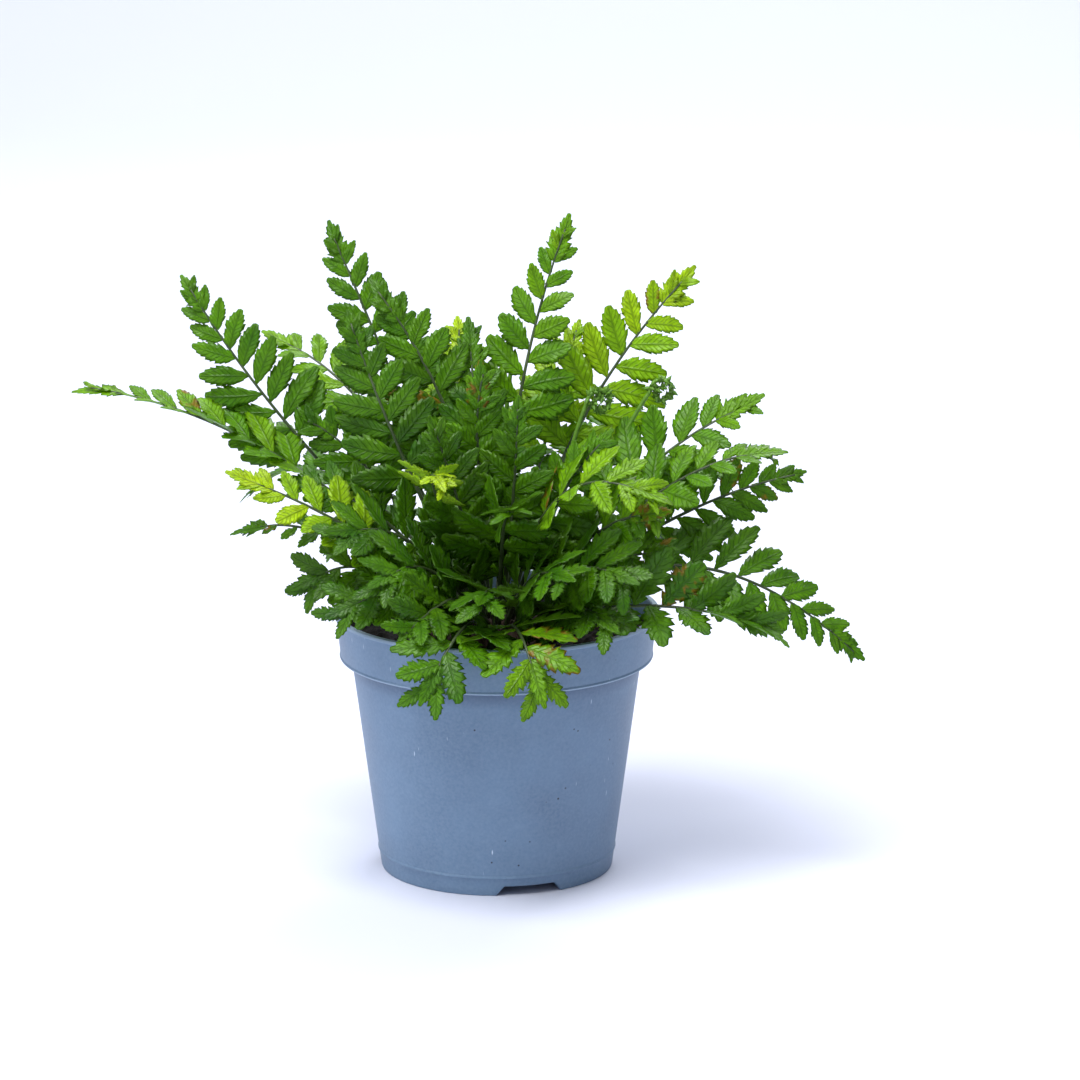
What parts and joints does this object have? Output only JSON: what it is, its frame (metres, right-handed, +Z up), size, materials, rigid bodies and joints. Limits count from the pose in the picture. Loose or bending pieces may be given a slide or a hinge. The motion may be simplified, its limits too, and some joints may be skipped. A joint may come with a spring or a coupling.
{
  "type": "potted fern",
  "caption": "Young pinnate fern with toothed leaflets, arching from a low crown in the peat of a tapered blue-grey plastic grower's pot.",
  "frame": {"origin": "on the surface that the pot stands on, under the middle of the box round pot and foliage", "axes": "+Z up, -Y towards the front of the plant, +X towards its right as seen from the front"},
  "size_m": [0.2886, 0.1829, 0.2411],
  "materials": {
    "pot_plastic": "satin moulded polypropylene, scuffed",
    "peat": "moist fibrous peat",
    "rhizome": "rough brown scales",
    "leaf": "satin living leaf, translucent",
    "bark": "rough bark"
  },
  "bodies": {
    "root": {"bark_chip_1": "bark", "bark_chip_2": "bark", "bark_chip_3": "bark", "bark_chip_4": "bark", "crosier_1": "leaf", "crosier_2": "leaf", "crosier_3": "leaf", "crosier_4": "leaf", "crown": "rhizome", "frond_01": "leaf", "frond_02": "leaf", "frond_03": "leaf", "frond_04": "leaf", "frond_05": "leaf", "frond_06": "leaf", "frond_07": "leaf", "frond_08": "leaf", "frond_09": "leaf", "frond_10": "leaf", "frond_11": "leaf", "frond_12": "leaf", "frond_13": "leaf", "frond_14": "leaf", "frond_15": "leaf", "frond_16": "leaf", "frond_17": "leaf", "frond_18": "leaf", "frond_19": "leaf", "frond_20": "leaf", "frond_21": "leaf", "frond_22": "leaf", "frond_23": "leaf", "frond_24": "leaf", "frond_25": "leaf", "frond_26": "leaf", "frond_27": "leaf", "frond_28": "leaf", "frond_29": "leaf", "frond_30": "leaf", "frond_31": "leaf", "frond_32": "leaf", "frond_33": "leaf", "frond_34": "leaf", "frond_35": "leaf", "frond_36": "leaf", "frond_37": "leaf", "frond_38": "leaf", "frond_39": "leaf", "frond_40": "leaf", "frond_41": "leaf", "frond_42": "leaf", "frond_43": "leaf", "frond_44": "leaf", "frond_45": "leaf", "frond_46": "leaf", "frond_47": "leaf", "frond_48": "leaf", "pot": "pot_plastic", "soil": "peat"}
  },
  "joints": []
}
